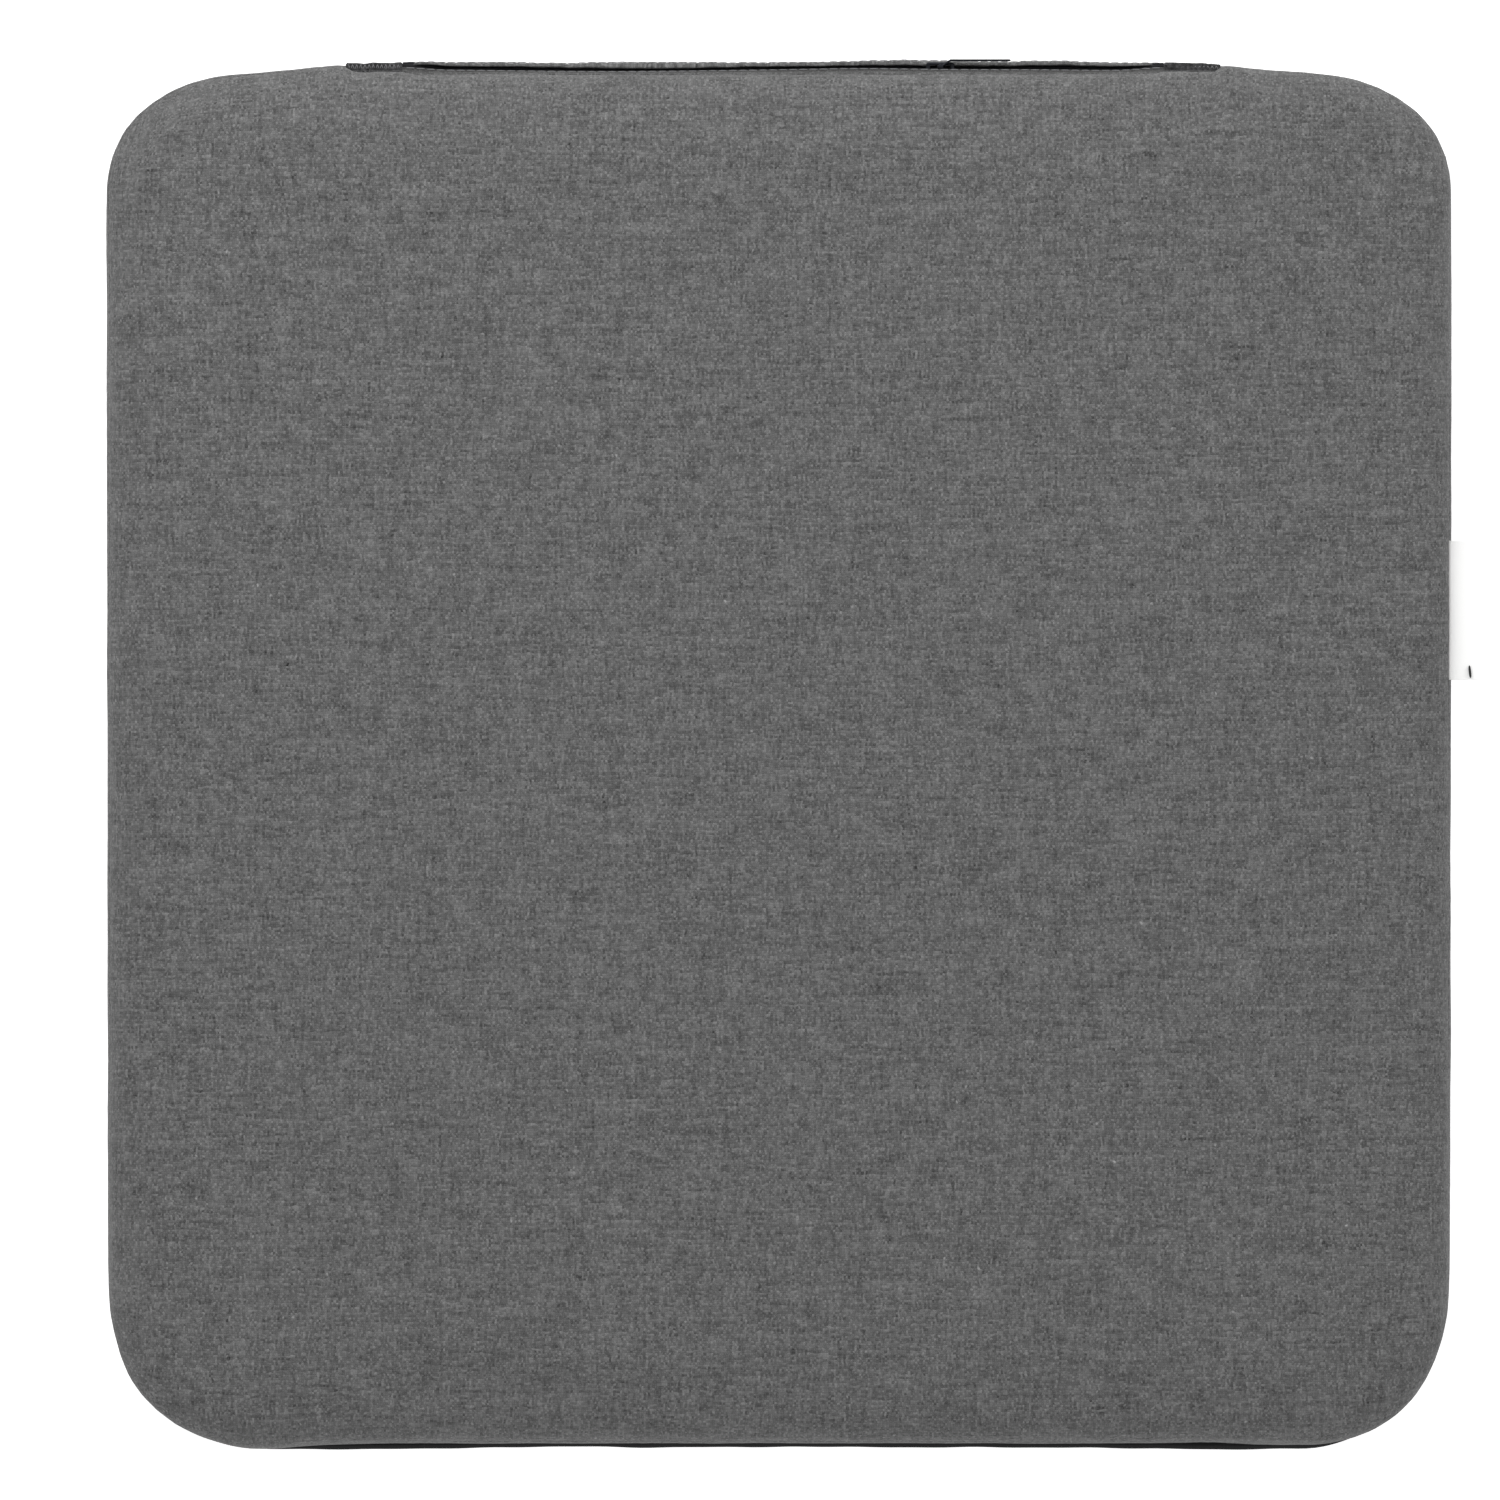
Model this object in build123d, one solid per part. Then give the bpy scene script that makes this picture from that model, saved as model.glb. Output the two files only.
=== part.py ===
from build123d import *
from math import atan2, degrees, hypot
import os

# Square kneeling pad: a two-layer foam block in a zip-off cloth cover with a non-slip base.
# Millimetres. X to the right, +Y towards the zip at the rear, +Z up. The origin is the middle
# of the pad's plan, on the plane that the pad rests on.

# ---- Driving dimensions -------------------------------------------------------------------

# Whole pad
pad_width = 400.0            # left to right, over the cover
pad_depth = 409.0            # front to rear, over the cover
pad_height = 40.0            # floor to the kneeling face
rear_corner_radius = 36.0    # plan radius of the two corners beside the zip
front_corner_radius = 42.0   # plan radius of the two front corners
top_rim_radius = 12.0        # soft edge round the kneeling face
base_rim_radius = 7.0        # soft edge round the base

# Cover
cloth = 1.0                  # thickness of every cover panel
top_panel_drop = 12.0        # how far the top panel wraps down over the rim
base_turn_up = 8.0           # height at which the base panel meets the side band
base_front_ridge = 1.8       # how far the base stands out past the front face
grip_coat_height = 0.8       # rubber grip layer under the base
grip_coat_margin = 12.0      # bare cloth round the grip layer

# Foam
foam_clearance = 0.3         # room between foam and cover
support_foam_height = 18.0   # firm lower slab
zip_relief_depth = 8.0       # how far the foam stands back behind the zip
zip_relief_margin = 0.6      # room round the zip tape inside that relief

# Zip in the rear face, places across the zip measured outwards from the rear face
zip_offset = 1.2             # middle of the zip, right of the pad's middle
zip_length = 261.0           # over both end tabs
end_tab_length = 17.0
lip_reach = 3.0              # how far the rolled lip stands out
lip_thickness = 1.1
tape_back = -3.6             # inner face of the woven tape
tape_thickness = 0.6
tape_height = 9.3            # one tape, across the zip
coil_height = 1.8            # coil's depth, measured off the tape
coil_width = 2.2             # one coil row, across the zip
coil_rounding = 0.6
stop_length = 2.5
stop_set_in = 1.0            # from the end tab to the metal stop
stop_wall = 0.25             # how far a stop stands round its coil
stop_rounding = 0.3

# Slider
slider_rest = 48.0           # middle of the slider at rest, along X
slider_length = 11.0
slider_width = 8.2
slider_plate = 0.9
slider_corner_radius = 1.6
slider_edge_radius = 0.25    # worn edge round the face of each plate
slider_flange = 0.6          # thickness of the rails along the plates' edges
slider_flange_drop = 1.5     # depth of the outer plate's rails
slider_inner_rail = 0.3      # depth of the inner plate's rails
slider_neck_length = 2.5
slider_neck = 0.6            # thickness of the web between the coil rows
slider_lip_clearance = 0.6   # slider to the cloth lips on each side
slider_clearance = 0.3       # slider to coil, tape, stops and pull

# Pull
pull_length = 21.0
pull_width = 6.0
pull_thickness = 0.5
pull_bar_radius = 0.5
pull_window_end = 6.0        # from the hinge to the solid part of the pull
pull_window_spare = 0.1      # extra room on each side of the arch
pull_arm_end_radius = 0.9
pull_tip_radius = 1.8
pull_crank = 2.2             # how far the pull is bent out past its hinge
pull_crank_run = 3.0         # length along the pull in which it is bent out
arch_width = 2.0
arch_inside_length = 6.0
arch_wall = 0.8
arch_leg = 1.2

# Thread
stitch_pitch = 3.0
stitch_length = 2.4
stitch_width = 0.6
stitch_height = 0.35
bartack_width = 1.6
bartack_height = 7.0
bartack_set_in = 2.4         # from the end tab's edge

# Labels
side_label_length = 41.4
side_label_middle = 43.9     # along Y, on the right-hand side
side_label_reach = 15.0
label_thickness = 0.6
care_label_width = 15.0
care_label_height = 16.0
care_label_thickness = 0.35

# ---- Worked-out places --------------------------------------------------------------------

rear_face = pad_depth / 2
side_face = pad_width / 2
rim_seam = pad_height - top_panel_drop
zip_height = (base_turn_up + rim_seam) / 2

half_opening = slider_width / 2 + slider_lip_clearance
opening_low = zip_height - half_opening
opening_high = zip_height + half_opening

zip_left = zip_offset - zip_length / 2
zip_right = zip_offset + zip_length / 2
window_left = zip_left + end_tab_length
window_right = zip_right - end_tab_length

tape_face = tape_back + tape_thickness
coil_face = tape_face + coil_height
coil_gap = slider_neck / 2 + slider_clearance
outer_plate_low = coil_face + slider_clearance
outer_plate_high = outer_plate_low + slider_plate
inner_plate_high = tape_back - slider_clearance - slider_inner_rail
inner_plate_low = inner_plate_high - slider_plate

base_floor = grip_coat_height
foam_low = base_floor + cloth + foam_clearance
foam_split = foam_low + support_foam_height
foam_high = pad_height - cloth - foam_clearance
foam_inset = cloth + foam_clearance

pull_axis = outer_plate_high + slider_clearance + pull_arm_end_radius
arch_inside = pull_axis + pull_bar_radius + slider_clearance
arch_high = arch_inside + arch_wall


# ---- Shapes used more than once -----------------------------------------------------------

def block(x, y, z):
    """A box between two limits along each axis."""
    size = (x[1] - x[0], y[1] - y[0], z[1] - z[0])
    return Pos(x[0], y[0], z[0]) * Box(*size, align=(Align.MIN, Align.MIN, Align.MIN))


def plan(inset=0.0, front_ridge=0.0):
    """The pad's outline seen from above, drawn in by inset and moved out at the front."""
    shape = Pos(0, -front_ridge / 2) * Rectangle(
        pad_width - 2 * inset, pad_depth + front_ridge - 2 * inset
    )
    shape = fillet(shape.vertices().group_by(Axis.Y)[0], front_corner_radius - inset)
    return fillet(shape.vertices().group_by(Axis.Y)[-1], rear_corner_radius - inset)


def slab(outline, low, high, top_radius=0.0, base_radius=0.0):
    """An outline carried up from low to high, with soft edges above and below."""
    solid = Pos(0, 0, low) * extrude(outline, high - low)
    if top_radius:
        solid = fillet(solid.faces().sort_by(Axis.Z)[-1].edges(), top_radius)
    if base_radius:
        solid = fillet(solid.faces().sort_by(Axis.Z)[0].edges(), base_radius)
    return solid


def level(low, high):
    """All space between two heights, wider than the pad."""
    return block((-pad_width, pad_width), (-pad_depth, pad_depth), (low, high))


def zip_bar(x, out, across):
    """A box by the zip: x along it, out from the rear face, across from its middle."""
    return block(
        x,
        (rear_face + out[0], rear_face + out[1]),
        (zip_height + across[0], zip_height + across[1]),
    )


def mirrored_across(x, out, across):
    """The same bar above and below the middle of the zip."""
    return zip_bar(x, out, across) + zip_bar(x, out, (-across[1], -across[0]))


def in_one_node(solids):
    """Separate solids kept together in one node."""
    return Compound(children=[s for group in solids for s in group.solids()])


# ---- Cover --------------------------------------------------------------------------------

def top_panel():
    """Kneeling face and rounded rim, down to the rim seam."""
    outside = slab(plan(), base_floor, pad_height, top_radius=top_rim_radius)
    inside = slab(
        plan(cloth), base_floor, pad_height - cloth, top_radius=top_rim_radius - cloth
    )
    return (outside - inside) & level(rim_seam, pad_height + cloth)


def side_band():
    """Upright wall round the left, front and right sides, open where the zip is."""
    wall = slab(plan(), base_turn_up, rim_seam) - slab(plan(cloth), base_turn_up, rim_seam)
    return wall - block(
        (zip_left, zip_right), (0, pad_depth), (base_turn_up, rim_seam)
    )


def base_panel():
    """Shallow tray of non-slip cloth, turned up round the foam, with a ridge along the front."""
    outside = slab(
        plan(front_ridge=base_front_ridge), base_floor, pad_height, base_radius=base_rim_radius
    )
    inside = slab(
        plan(cloth), base_floor + cloth, pad_height, base_radius=base_rim_radius - cloth
    )
    return (outside - inside) & level(0, base_turn_up)


def grip_coat():
    """Rubber grip layer that the pad stands on."""
    return slab(plan(grip_coat_margin), 0, grip_coat_height)


def zip_strip_upper():
    """Cloth strip above the zip, its edge folded in against the tape."""
    x = (window_left, window_right)
    face = zip_bar(x, (-cloth, 0), (half_opening, rim_seam - zip_height))
    fold = zip_bar(x, (tape_face, -cloth), (half_opening, half_opening + cloth))
    return face + fold


def zip_strip_lower():
    """Cloth strip below the zip, rolled out into a gutter with a standing lip."""
    x = (window_left, window_right)
    low = base_turn_up - zip_height
    floor = zip_bar(x, (tape_face, lip_reach), (low, low + cloth))
    lip = zip_bar(x, (lip_reach - lip_thickness, lip_reach), (low + cloth, -half_opening))
    return floor + lip


def zip_end_tab(x):
    """Folded tab that closes one end of the zip, with a bulge as high as the lip."""
    low = base_turn_up - zip_height
    wall = zip_bar(x, (tape_face, 0), (low, rim_seam - zip_height))
    bulge = zip_bar(x, (0, lip_reach), (low, -half_opening))
    return wall + bulge


# ---- Zip ----------------------------------------------------------------------------------

def tape(side):
    """One woven tape; side is 1 above the zip and -1 below it."""
    across = sorted((side * coil_gap, side * (coil_gap + tape_height)))
    return zip_bar((zip_left, zip_right), (tape_back, tape_face), across)


def coil(side):
    """The solid outer shape of one row of coils, rounded on its outside."""
    across = sorted((side * coil_gap, side * (coil_gap + coil_width)))
    x = (window_left + stop_set_in + stop_length, window_right - stop_set_in - stop_length)
    bar = zip_bar(x, (tape_face, coil_face), across)
    long_edges = bar.edges().filter_by(Axis.X).group_by(Axis.Y)[-1]
    return fillet(long_edges, coil_rounding)


def top_stops():
    """Two metal stops, one on each tape, at the right-hand end."""
    x = (window_right - stop_set_in - stop_length, window_right - stop_set_in)
    out = (tape_face, coil_face + stop_wall)
    return mirrored_across(x, out, (coil_gap, coil_gap + coil_width + stop_wall))


def bottom_stop():
    """One metal stop across both coils, at the left-hand end."""
    x = (window_left + stop_set_in, window_left + stop_set_in + stop_length)
    reach = coil_gap + coil_width + stop_wall
    bar = zip_bar(x, (tape_face, coil_face + stop_wall), (-reach, reach))
    return fillet(bar.faces().sort_by(Axis.Y)[-1].edges(), stop_rounding)


# ---- Slider and pull ----------------------------------------------------------------------

def plate(out, face):
    """One plate of the slider, with rounded corners; face picks the side with the worn edge."""
    half = slider_length / 2
    x = (slider_rest - half, slider_rest + half)
    solid = zip_bar(x, out, (-slider_width / 2, slider_width / 2))
    solid = fillet(solid.edges().filter_by(Axis.Y), slider_corner_radius)
    return fillet(solid.faces().sort_by(Axis.Y)[face].edges(), slider_edge_radius)


def slider_body():
    """Two plates with rails, joined by a web, and the arch that holds the pull."""
    outer = plate((outer_plate_low, outer_plate_high), -1)
    inner = plate((inner_plate_low, inner_plate_high), 0)
    half = slider_length / 2 - slider_corner_radius
    x = (slider_rest - half, slider_rest + half)
    rail = (slider_width / 2 - slider_flange, slider_width / 2)
    outer_rails = mirrored_across(x, (outer_plate_low - slider_flange_drop, outer_plate_low), rail)
    inner_rails = mirrored_across(x, (inner_plate_high, tape_back - slider_clearance), rail)
    neck = zip_bar(
        (x[1] - slider_neck_length, x[1]),
        (inner_plate_high, outer_plate_low),
        (-slider_neck / 2, slider_neck / 2),
    )
    across = (-arch_width / 2, arch_width / 2)
    reach = arch_inside_length / 2
    arch = zip_bar(
        (slider_rest - reach - arch_leg, slider_rest + reach + arch_leg),
        (outer_plate_high, arch_high),
        across,
    )
    arch = fillet(arch.faces().sort_by(Axis.Y)[-1].edges().filter_by(Axis.Z), arch_wall)
    arch -= zip_bar(
        (slider_rest - reach, slider_rest + reach), (outer_plate_high, arch_inside), across
    )
    return outer + inner + outer_rails + inner_rails + neck + arch


def pull_tab():
    """Cranked flat pull with a window round the arch's leg and a round bar under the arch."""
    half = pull_width / 2
    middle = pull_thickness / 2
    flat = block(
        (pull_crank_run, pull_length), (pull_crank - middle, pull_crank + middle), (-half, half)
    )
    flat = fillet(flat.edges().filter_by(Axis.Y).group_by(Axis.X)[-1], pull_tip_radius)
    slope = degrees(atan2(pull_crank, pull_crank_run))
    neck = Rot(0, 0, slope) * block(
        (0, hypot(pull_crank, pull_crank_run)), (-middle, middle), (-half, half)
    )
    elbow = Pos(pull_crank_run, pull_crank) * Cylinder(middle, pull_width)
    window = arch_width / 2 + slider_clearance + pull_window_spare
    body = flat + neck + elbow
    body -= block(
        (-pull_arm_end_radius, pull_window_end),
        (-pull_arm_end_radius, pull_crank + pull_thickness),
        (-window, window),
    )
    body += Cylinder(pull_bar_radius, pull_width)
    arm = half - window
    for side in (-1, 1):
        body += Pos(0, 0, side * (window + arm / 2)) * Cylinder(pull_arm_end_radius, arm)
    return Pos(slider_rest, rear_face + pull_axis, zip_height) * body


# ---- Thread -------------------------------------------------------------------------------

def stitches(out, across):
    """A row of lockstitches along the zip's window, lying on a cloth face."""
    room = window_right - window_left
    count = int(room // stitch_pitch)
    first = (window_left + window_right - (count - 1) * stitch_pitch) / 2
    half = stitch_length / 2
    return in_one_node(
        zip_bar(
            (first + i * stitch_pitch - half, first + i * stitch_pitch + half),
            (out, out + stitch_height),
            (across - stitch_width / 2, across + stitch_width / 2),
        )
        for i in range(count)
    )


def bartacks():
    """A dense bar of thread across each end of the zip, on the end tabs."""
    places = (window_left - bartack_set_in, window_right + bartack_set_in)
    return in_one_node(
        zip_bar(
            (x - bartack_width / 2, x + bartack_width / 2),
            (0, stitch_height),
            (-bartack_height / 2, bartack_height / 2),
        )
        for x in places
    )


# ---- Labels and foam ----------------------------------------------------------------------

def side_label():
    """Folded blank label that stands out under the rim seam on the right-hand side."""
    half = side_label_length / 2
    return block(
        (side_face, side_face + side_label_reach),
        (side_label_middle - half, side_label_middle + half),
        (rim_seam - label_thickness, rim_seam),
    )


def care_label():
    """Blank care label on the back of the tapes, past the slider's travel."""
    half = care_label_height / 2
    return zip_bar(
        (zip_right - care_label_width, zip_right),
        (tape_back - care_label_thickness, tape_back),
        (-half, half),
    )


def zip_relief():
    """The space behind the zip that the foam leaves free."""
    reach = coil_gap + tape_height + zip_relief_margin
    return zip_bar(
        (zip_left - zip_relief_margin, zip_right + zip_relief_margin),
        (-zip_relief_depth, cloth),
        (-reach, reach),
    )


def support_foam():
    """Firm lower slab."""
    solid = slab(
        plan(foam_inset), foam_low, foam_split, base_radius=base_rim_radius - foam_inset
    )
    return solid - zip_relief()


def comfort_foam():
    """Soft upper slab, glued to the firm one."""
    solid = slab(
        plan(foam_inset), foam_split, foam_high, top_radius=top_rim_radius - foam_inset
    )
    return solid - zip_relief()


# ---- Every node ---------------------------------------------------------------------------

lip_middle = (base_turn_up - zip_height - half_opening) / 2
strip_middle = (half_opening + rim_seam - zip_height) / 2

nodes = {
    "top_panel": top_panel(),
    "side_band": side_band(),
    "base_panel": base_panel(),
    "grip_coat": grip_coat(),
    "zip_strip_upper": zip_strip_upper(),
    "zip_strip_lower": zip_strip_lower(),
    "zip_end_tab_left": zip_end_tab((zip_left, window_left)),
    "zip_end_tab_right": zip_end_tab((window_right, zip_right)),
    "zip_tape_upper": tape(1),
    "zip_tape_lower": tape(-1),
    "zip_coil_upper": coil(1),
    "zip_coil_lower": coil(-1),
    "zip_top_stops": top_stops(),
    "zip_bottom_stop": bottom_stop(),
    "zip_bartacks": bartacks(),
    "topstitch_upper": stitches(0, strip_middle),
    "topstitch_lower": stitches(lip_reach, lip_middle),
    "side_label": side_label(),
    "care_label": care_label(),
    "comfort_foam": comfort_foam(),
    "support_foam": support_foam(),
    "slider_body": slider_body(),
    "pull_tab": pull_tab(),
}

os.makedirs("parts", exist_ok=True)
for name, shape in nodes.items():
    export_step(shape, f"parts/{name}.step")

stop_room = stop_set_in + stop_length + slider_clearance + slider_length / 2
print("slider travel, mm:", window_left + stop_room - slider_rest, window_right - stop_room - slider_rest)
print("pull hinge, mm:", slider_rest, rear_face + pull_axis, zip_height)
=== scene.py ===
import math

import bmesh
import bpy
import numpy as np
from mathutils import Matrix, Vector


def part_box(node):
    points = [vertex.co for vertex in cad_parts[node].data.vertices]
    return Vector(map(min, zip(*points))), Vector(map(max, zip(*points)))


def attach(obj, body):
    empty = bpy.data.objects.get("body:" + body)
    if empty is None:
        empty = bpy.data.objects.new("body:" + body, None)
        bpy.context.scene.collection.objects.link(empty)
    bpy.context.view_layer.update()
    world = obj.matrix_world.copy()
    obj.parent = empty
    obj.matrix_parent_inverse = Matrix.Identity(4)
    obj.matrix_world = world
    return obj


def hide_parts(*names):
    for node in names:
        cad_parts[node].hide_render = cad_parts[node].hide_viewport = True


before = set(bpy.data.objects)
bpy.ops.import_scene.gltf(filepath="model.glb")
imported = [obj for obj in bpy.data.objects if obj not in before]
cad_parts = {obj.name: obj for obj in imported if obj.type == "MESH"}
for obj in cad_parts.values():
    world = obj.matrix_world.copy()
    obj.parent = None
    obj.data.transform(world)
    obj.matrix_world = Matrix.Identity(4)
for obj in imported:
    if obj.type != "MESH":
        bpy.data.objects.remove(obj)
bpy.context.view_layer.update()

# Square foam kneeling pad in a zip-off heather cloth cover with a black non-slip base.
# Metres, in the CAD model's frame: X right, +Y towards the zip, Z up from the floor.

MM = 0.001

# ---- The pad's own sizes, read from the frame ---------------------------------------------

top_low, top_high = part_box("top_panel")
band_low, band_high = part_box("side_band")
base_low, base_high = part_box("base_panel")
grip_low, grip_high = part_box("grip_coat")
upper_low, upper_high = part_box("zip_strip_upper")
lower_low, lower_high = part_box("zip_strip_lower")
tape_low, tape_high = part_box("zip_tape_lower")
coil_low, coil_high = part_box("zip_coil_lower")
label_low, label_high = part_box("side_label")
slider_low, slider_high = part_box("slider_body")
tab_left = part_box("zip_end_tab_left")
tab_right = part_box("zip_end_tab_right")

half_width = top_high.x
rear = top_high.y
front = top_low.y
pad_top = top_high.z
rim_seam = top_low.z
base_seam = band_low.z
base_under = base_low.z
zip_left, zip_right = tab_left[0].x, tab_right[1].x
window_left, window_right = tab_left[1].x, tab_right[0].x
opening_low, opening_high = lower_high.z, upper_low.z
zip_middle = (opening_low + opening_high) / 2

# ---- Sizes that only the looks need -------------------------------------------------------

rear_corner = 36 * MM
front_corner = 42 * MM
rim_radius = 12 * MM
base_rim_radius = 6.4 * MM
cloth = 1.0 * MM
swell_cap = 2.2 * MM        # most that the stuffed cover may rise off its plain shape
side_swell_share = 0.2      # how much of the swelling shows in the upright walls
seam_dip = 0.6 * MM         # how deep a sewn seam pulls in
seam_reach = 1.6 * MM       # how far from the seam the cloth starts to turn in
pucker_pitch = 7 * MM       # spacing of the small gathers along a seam
pucker_height = 0.09 * MM
wave_height = 0.10 * MM     # slow unevenness of the cloth over the foam
facet_share = 0.85          # how flat the rim is at the rear left corner
foam_gap = 1.5 * MM         # from the cover's outside to the foam

# Where the filled cover leaves its plain outline, in mm: the place along the outline, from the
# middle of the rear side by way of the left, the width of the bump, and its height outwards.
outline_bumps = [
    (128, 14, 2.0), (177, 20, -1.55), (230, 18, 0.2), (563, 12, -0.7), (592, 22, 0.45),
    (622, 13, 1.3), (905, 12, -0.6), (960, 22, 0.5), (988, 15, -0.9), (1374, 19, -1.75),
    (1423, 14, 1.9),
]
outline_bump_reach = 34 * MM  # how far in over the kneeling face a bump is felt
side_taper = 0.3 * MM         # the sides lean out towards the rear and in towards the front
right_side_in = 0.05 * MM
front_in = 0.4 * MM           # the grey front wall sits back between the corners
zip_set_in = 0.8 * MM         # the rim sits back above the zip
rim_painted_shade = -0.22              # and is drawn darker there: painted shade where the rim rolls into the zip


# ---- Small tools --------------------------------------------------------------------------

def linear(colour):
    """Linear RGBA of an sRGB hex colour."""
    value = np.array([int(colour[i:i + 2], 16) for i in (1, 3, 5)]) / 255
    value = np.where(value <= 0.04045, value / 12.92, ((value + 0.055) / 1.055) ** 2.4)
    return (*value.tolist(), 1.0)


def hump(x, middle, width):
    """A smooth bump of height 1 at the middle, e**-1 at one width from it."""
    return np.exp(-(((x - middle) / width) ** 2))


def step(x, low, high):
    """0 below low, 1 above high, and a smooth S between them."""
    t = np.clip((x - low) / (high - low), 0, 1)
    return t * t * (3 - 2 * t)


def quads(rows, columns, closed=False):
    """Faces of a grid of points kept row by row; closed joins the last column to the first."""
    r = np.arange(rows - 1)[:, None]
    c = np.arange(columns if closed else columns - 1)[None, :]
    n = (c + 1) % columns
    corners = (r * columns + c, r * columns + n, (r + 1) * columns + n, (r + 1) * columns + c)
    return np.stack(corners, -1).reshape(-1, 4)


def piece(
    name, points, faces, material, body="pad", uv=None, shade=None, stands_for=(), weld=False
):
    """A mesh made from arrays of points and faces, riding on a CAD body. shade is painted light and
    shade: how much lighter or darker the cloth is drawn at each point."""
    mesh = bpy.data.meshes.new(name)
    mesh.from_pydata(np.asarray(points).reshape(-1, 3), [], faces)
    if shade is not None:
        painted_light_layer = mesh.attributes.new("shade", "FLOAT", "POINT")
        painted_light_layer.data.foreach_set("value", np.asarray(shade, np.float32).ravel())
    if uv is not None:
        layer = mesh.uv_layers.new(name="cloth")
        corner = np.empty(len(mesh.loops), np.int32)
        mesh.loops.foreach_get("vertex_index", corner)
        layer.data.foreach_set("uv", np.asarray(uv).reshape(-1, 2)[corner].astype(np.float32).ravel())
    mesh.materials.append(material)
    if weld:
        merge(mesh)
    mesh.shade_smooth()
    made = bpy.data.objects.new(name, mesh)
    bpy.context.scene.collection.objects.link(made)
    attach(made, body)
    if stands_for:
        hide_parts(*stands_for)
    return made


def merge(mesh, distance=1e-6):
    """Joins points that share a place, so that seams and poles are closed."""
    shape = bmesh.new()
    shape.from_mesh(mesh)
    bmesh.ops.remove_doubles(shape, verts=shape.verts, dist=distance)
    shape.to_mesh(mesh)
    shape.free()


def thicken(made, thickness, offset=-1):
    """Gives a sheet its thickness, inwards from the face that shows."""
    wall = made.modifiers.new("thickness", "SOLIDIFY")
    wall.thickness = thickness
    wall.offset = offset
    return made


def slow_waves(u, v, seed, shortest, longest, count=14):
    """Sum of plane waves of random direction and phase, with a spread of about 1."""
    draw = np.random.default_rng(seed)
    total = np.zeros(np.broadcast(u, v).shape)
    for angle, phase, length in zip(
        draw.uniform(0, np.pi, count), draw.uniform(0, 2 * np.pi, count),
        np.geomspace(shortest, longest, count),
    ):
        total += np.sin(2 * np.pi * (u * np.cos(angle) + v * np.sin(angle)) / length + phase)
    return total / math.sqrt(count / 2)


# ---- The pad's outline --------------------------------------------------------------------

def outline_runs():
    """Straight runs and corner arcs in order from the middle of the rear side by way of the left
    side: each run's start length, outward angle, curvature and first point."""
    side = rear - front - rear_corner - front_corner
    half_rear = half_width - rear_corner
    lengths = [
        (half_rear, 0), (rear_corner * np.pi / 2, rear_corner),
        (side, 0), (front_corner * np.pi / 2, front_corner),
        (2 * (half_width - front_corner), 0), (front_corner * np.pi / 2, front_corner),
        (side, 0), (rear_corner * np.pi / 2, rear_corner), (half_rear, 0),
    ]
    starts, angles, bends, points = [], [], [], []
    s, angle, point = 0.0, np.pi / 2, np.array([0.0, rear])
    for length, radius in lengths:
        starts.append(s)
        angles.append(angle)
        bends.append(1 / radius if radius else 0.0)
        points.append(point)
        if radius:
            turned = angle + np.pi / 2
            point = point + radius * np.array(
                [np.cos(turned) - np.cos(angle), np.sin(turned) - np.sin(angle)]
            )
            angle = turned
        else:
            point = point + length * np.array([-np.sin(angle), np.cos(angle)])
        s += length
    return np.array(starts), np.array(angles), np.array(bends), np.array(points), s


run_start, run_angle, run_bend, run_point, outline_length = outline_runs()
corner_middles = np.array([
    run_start[1] + rear_corner * np.pi / 4, run_start[3] + front_corner * np.pi / 4,
    run_start[5] + front_corner * np.pi / 4, run_start[7] + rear_corner * np.pi / 4,
])
side_breaks = np.append(corner_middles, corner_middles[0] + outline_length)


def around(s):
    """Outline point and outward direction at length s: a straight run moves along the tangent, an
    arc turns the outward direction at the run's curvature."""
    s = np.mod(s, outline_length)
    i = np.searchsorted(run_start, s, side="right") - 1
    t = s - run_start[i]
    angle = run_angle[i] + t * run_bend[i]
    out = np.stack([np.cos(angle), np.sin(angle)], -1)
    first = np.stack([np.cos(run_angle[i]), np.sin(run_angle[i])], -1)
    along = np.stack([-first[..., 1], first[..., 0]], -1)
    radius = 1 / np.where(run_bend[i] > 0, run_bend[i], 1)
    moved = np.where(run_bend[i][..., None] > 0, radius[..., None] * (out - first), t[..., None] * along)
    return run_point[i] + moved, out


def outline_bulge(s):
    """How far the cover's wall stands out from the plain outline at length s: the sum of the
    bumps, the lean of the two sides and the set-back of the front."""
    edge, out = around(s)
    s = np.mod(s, outline_length)
    total = sum(height * MM * hump(s, middle * MM, width * MM) for middle, width, height in outline_bumps)
    lean = side_taper * abs(out[..., 0]) * edge[..., 1] / rear - right_side_in * np.maximum(out[..., 0], 0)
    front_middle = step(-out[..., 1], 0.98, 1) * step(-abs(edge[..., 0]), -140 * MM, -112 * MM)
    return total + lean - front_in * front_middle


def cover_bulge(s):
    """The grey cover's bulge: the outline's, with none at the zip and its end tabs, where the
    cover is set in over the part that opens."""
    edge, _ = around(s)
    at_rear = edge[..., 1] > rear - 1 * MM
    past_zip = np.maximum(zip_left - edge[..., 0], edge[..., 0] - zip_right)
    beside = np.where(at_rear, step(past_zip, -2.5 * MM, 0.5 * MM), 1)
    in_window = np.minimum(edge[..., 0] - window_left, window_right - edge[..., 0])
    return outline_bulge(s) * beside - zip_set_in * at_rear * step(in_window, -1 * MM, 4 * MM)


def square_direction(s):
    """The point of the unit square's edge that belongs to length s of the outline. The square's
    corners belong to the middles of the corner arcs."""
    s = np.mod(s - side_breaks[0], outline_length) + side_breaks[0]
    side = np.clip(np.searchsorted(side_breaks, s, side="right") - 1, 0, 3)
    t = 2 * (s - side_breaks[side]) / (side_breaks[side + 1] - side_breaks[side]) - 1
    one = np.ones_like(t)
    return np.stack([np.choose(side, [-one, t, one, -t]), np.choose(side, [-t, -one, t, one])], -1)


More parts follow.
